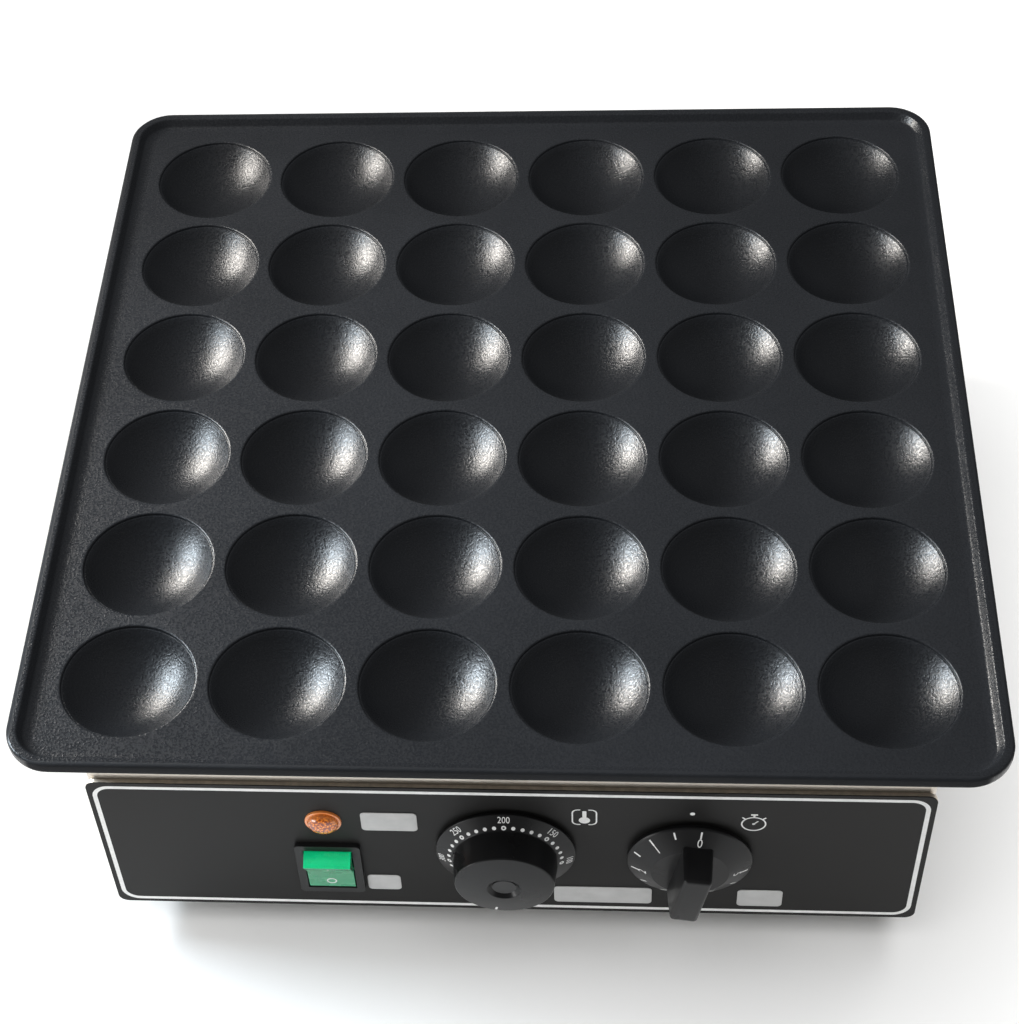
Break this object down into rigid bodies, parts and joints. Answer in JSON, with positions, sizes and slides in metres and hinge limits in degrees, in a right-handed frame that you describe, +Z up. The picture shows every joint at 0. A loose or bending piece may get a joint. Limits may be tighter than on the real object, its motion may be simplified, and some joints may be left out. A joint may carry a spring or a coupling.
{
  "type": "mini pancake maker",
  "caption": "Square tabletop baking machine: a dark cast plate of round dished wells on a sheet-steel case, with a thermostat knob, a timer knob, a rocker switch and a lamp in front.",
  "frame": {"origin": "on the floor under the middle of the machine's box", "axes": "+X to the right, +Y from the control panel to the back, +Z up"},
  "size_m": [0.356, 0.3575, 0.146],
  "materials": {
    "coated_aluminium": "dark non-stick coating with a fine grain",
    "stainless_sheet": "brushed stainless sheet",
    "plated_sheet": "plain plated sheet",
    "panel_black": "satin black coating",
    "plated_steel": "bright zinc plating",
    "heater_sheath": "dark oxidised tube",
    "ceramic": "unglazed white ceramic",
    "mineral_fibre": "pale fibre blanket",
    "foot_rubber": "matt black rubber",
    "amber_plastic": "clear amber plastic",
    "black_plastic": "black moulded plastic",
    "green_plastic": "translucent green plastic",
    "knob_plastic": "satin black moulded plastic",
    "cap_plastic": "plain black disc",
    "brass": "bare brass",
    "copper_tube": "drawn copper",
    "thermoset": "pale moulded thermoset"
  },
  "bodies": {
    "machine": {"baking_plate": "coated_aluminium", "casing": "stainless_sheet", "base_plate": "plated_sheet", "control_panel": "panel_black", "heat_shield": "plated_sheet", "insulation_blanket": "mineral_fibre", "heater_front": "heater_sheath", "heater_middle": "heater_sheath", "heater_rear": "heater_sheath", "heater_insulators": "ceramic", "heater_terminals": "plated_steel", "clamp_bar_left": "plated_steel", "clamp_bar_right": "plated_steel", "clamp_studs": "plated_steel", "clamp_nuts": "plated_steel", "shield_nuts": "plated_steel", "plate_studs": "plated_steel", "plate_nuts": "plated_steel", "foot_front_left": "foot_rubber", "foot_front_right": "foot_rubber", "foot_rear_left": "foot_rubber", "foot_rear_right": "foot_rubber", "foot_screws": "plated_steel", "foot_nuts": "plated_steel", "base_screws": "plated_steel", "panel_nuts": "plated_steel", "lamp_lens": "amber_plastic", "lamp_body": "black_plastic", "lamp_clip": "plated_steel", "switch_housing": "black_plastic", "switch_terminals": "brass", "thermostat_body": "thermoset", "thermostat_screws": "plated_steel", "thermostat_bulb": "copper_tube", "thermostat_capillary": "copper_tube", "bulb_clip": "plated_sheet", "bulb_clip_screws": "plated_steel", "timer_body": "black_plastic", "timer_bell": "brass", "timer_screws": "plated_steel", "terminal_block": "ceramic", "terminal_screws": "brass", "cable_gland": "black_plastic", "gland_nut": "black_plastic", "earth_screw": "brass", "earth_nut": "brass"},
    "thermostat_dial": {"thermostat_knob": "knob_plastic", "thermostat_knob_cap": "cap_plastic", "thermostat_knob_clip": "plated_steel", "thermostat_shaft": "plated_steel"},
    "timer_dial": {"timer_knob": "knob_plastic", "timer_knob_clip": "plated_steel", "timer_shaft": "plated_steel"},
    "rocker": {"switch_rocker": "green_plastic"}
  },
  "joints": [
    {"name": "thermostat_knob_turn", "type": "hinge", "parent": "machine", "child": "thermostat_dial", "pos_m": [-0.0005, -0.15825, 0.06625], "axis": [0, 1, 0], "range_deg": [-192, 96]},
    {"name": "timer_knob_turn", "type": "hinge", "parent": "machine", "child": "timer_dial", "pos_m": [0.069, -0.15825, 0.06325], "axis": [0, 1, 0], "range_deg": [-10, 260]},
    {"name": "switch_rocker_tilt", "type": "hinge", "parent": "machine", "child": "rocker", "pos_m": [-0.069, -0.15825, 0.05075], "axis": [-1, 0, 0], "range_deg": [0, 30]}
  ]
}
